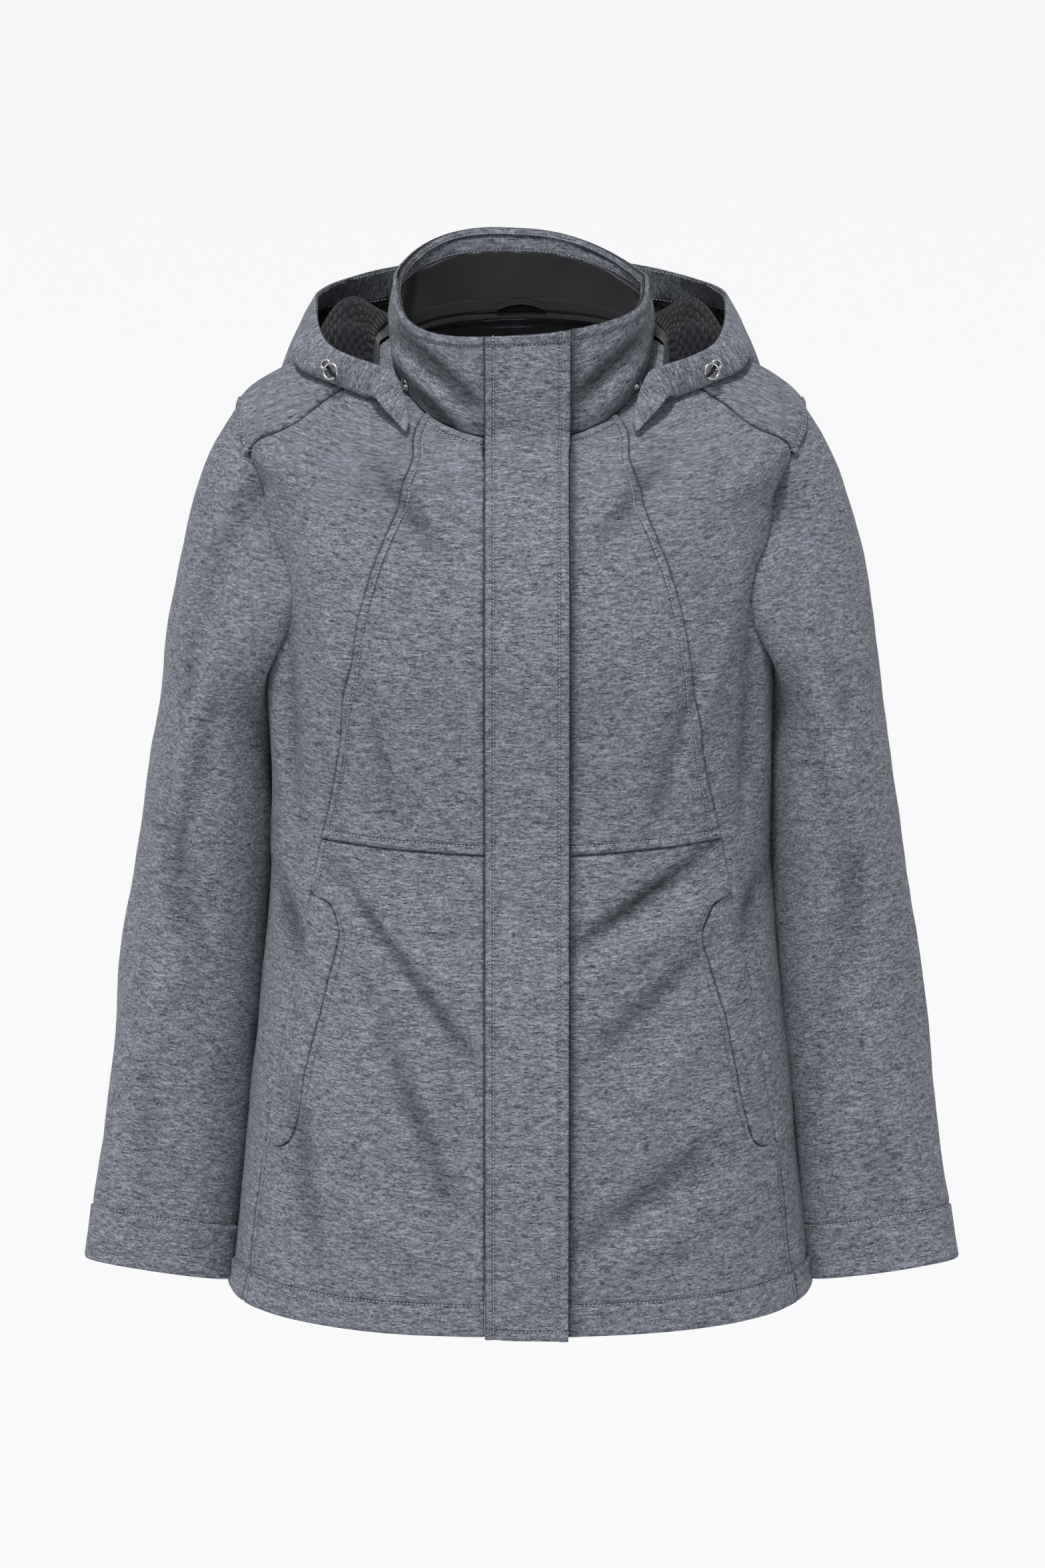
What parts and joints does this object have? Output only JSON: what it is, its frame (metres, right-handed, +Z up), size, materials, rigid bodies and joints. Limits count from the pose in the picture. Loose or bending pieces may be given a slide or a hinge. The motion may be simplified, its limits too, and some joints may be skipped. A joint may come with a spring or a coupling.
{
  "type": "jacket",
  "caption": "Hooded softshell jacket, zipped up and filled out: stand collar, storm flap, princess seams, hand pockets; open at neck, hem and cuffs.",
  "frame": {"origin": "inside the neck, level with the tops of the shoulders, where the wearer carries the jacket", "axes": "+Z up towards the collar, the front faces -Y, +X towards the wearer's left"},
  "size_m": [0.658, 0.3153, 0.8065],
  "materials": {
    "knit_shell": "matt heather knit face",
    "dark_lining": "smooth charcoal lining",
    "quilted_lining": "embossed charcoal quilted lining",
    "dark_tape": "ribbed tape",
    "zip": "moulded teeth on woven tape",
    "polished_metal": "polished nickel plate",
    "elastic_cord": "braided elastic"
  },
  "bodies": {
    "root": {"sleeve_left": "knit_shell", "sleeve_right": "knit_shell", "front_upper_left": "knit_shell", "front_upper_right": "knit_shell", "front_lower_left": "knit_shell", "front_lower_right": "knit_shell", "front_side_left": "knit_shell", "front_side_right": "knit_shell", "pocket_panel_left": "knit_shell", "pocket_panel_right": "knit_shell", "back": "knit_shell", "yoke": "knit_shell", "storm_flap": "knit_shell", "collar": "knit_shell", "collar_band": "knit_shell", "hood_left": "knit_shell", "hood_right": "knit_shell", "hood_band_left": "knit_shell", "hood_band_right": "knit_shell", "hood_tab_left": "knit_shell", "hood_tab_right": "knit_shell", "zip": "zip", "collar_lining": "dark_lining", "neck_tape": "dark_tape", "hanger_loop": "dark_tape", "hood_lining_left": "quilted_lining", "hood_lining_right": "quilted_lining", "eyelet_left": "polished_metal", "eyelet_right": "polished_metal", "cord_ring_left": "polished_metal", "cord_ring_right": "polished_metal", "snap_left": "polished_metal", "snap_right": "polished_metal", "cord_loop_left": "elastic_cord", "cord_loop_right": "elastic_cord"}
  },
  "joints": []
}
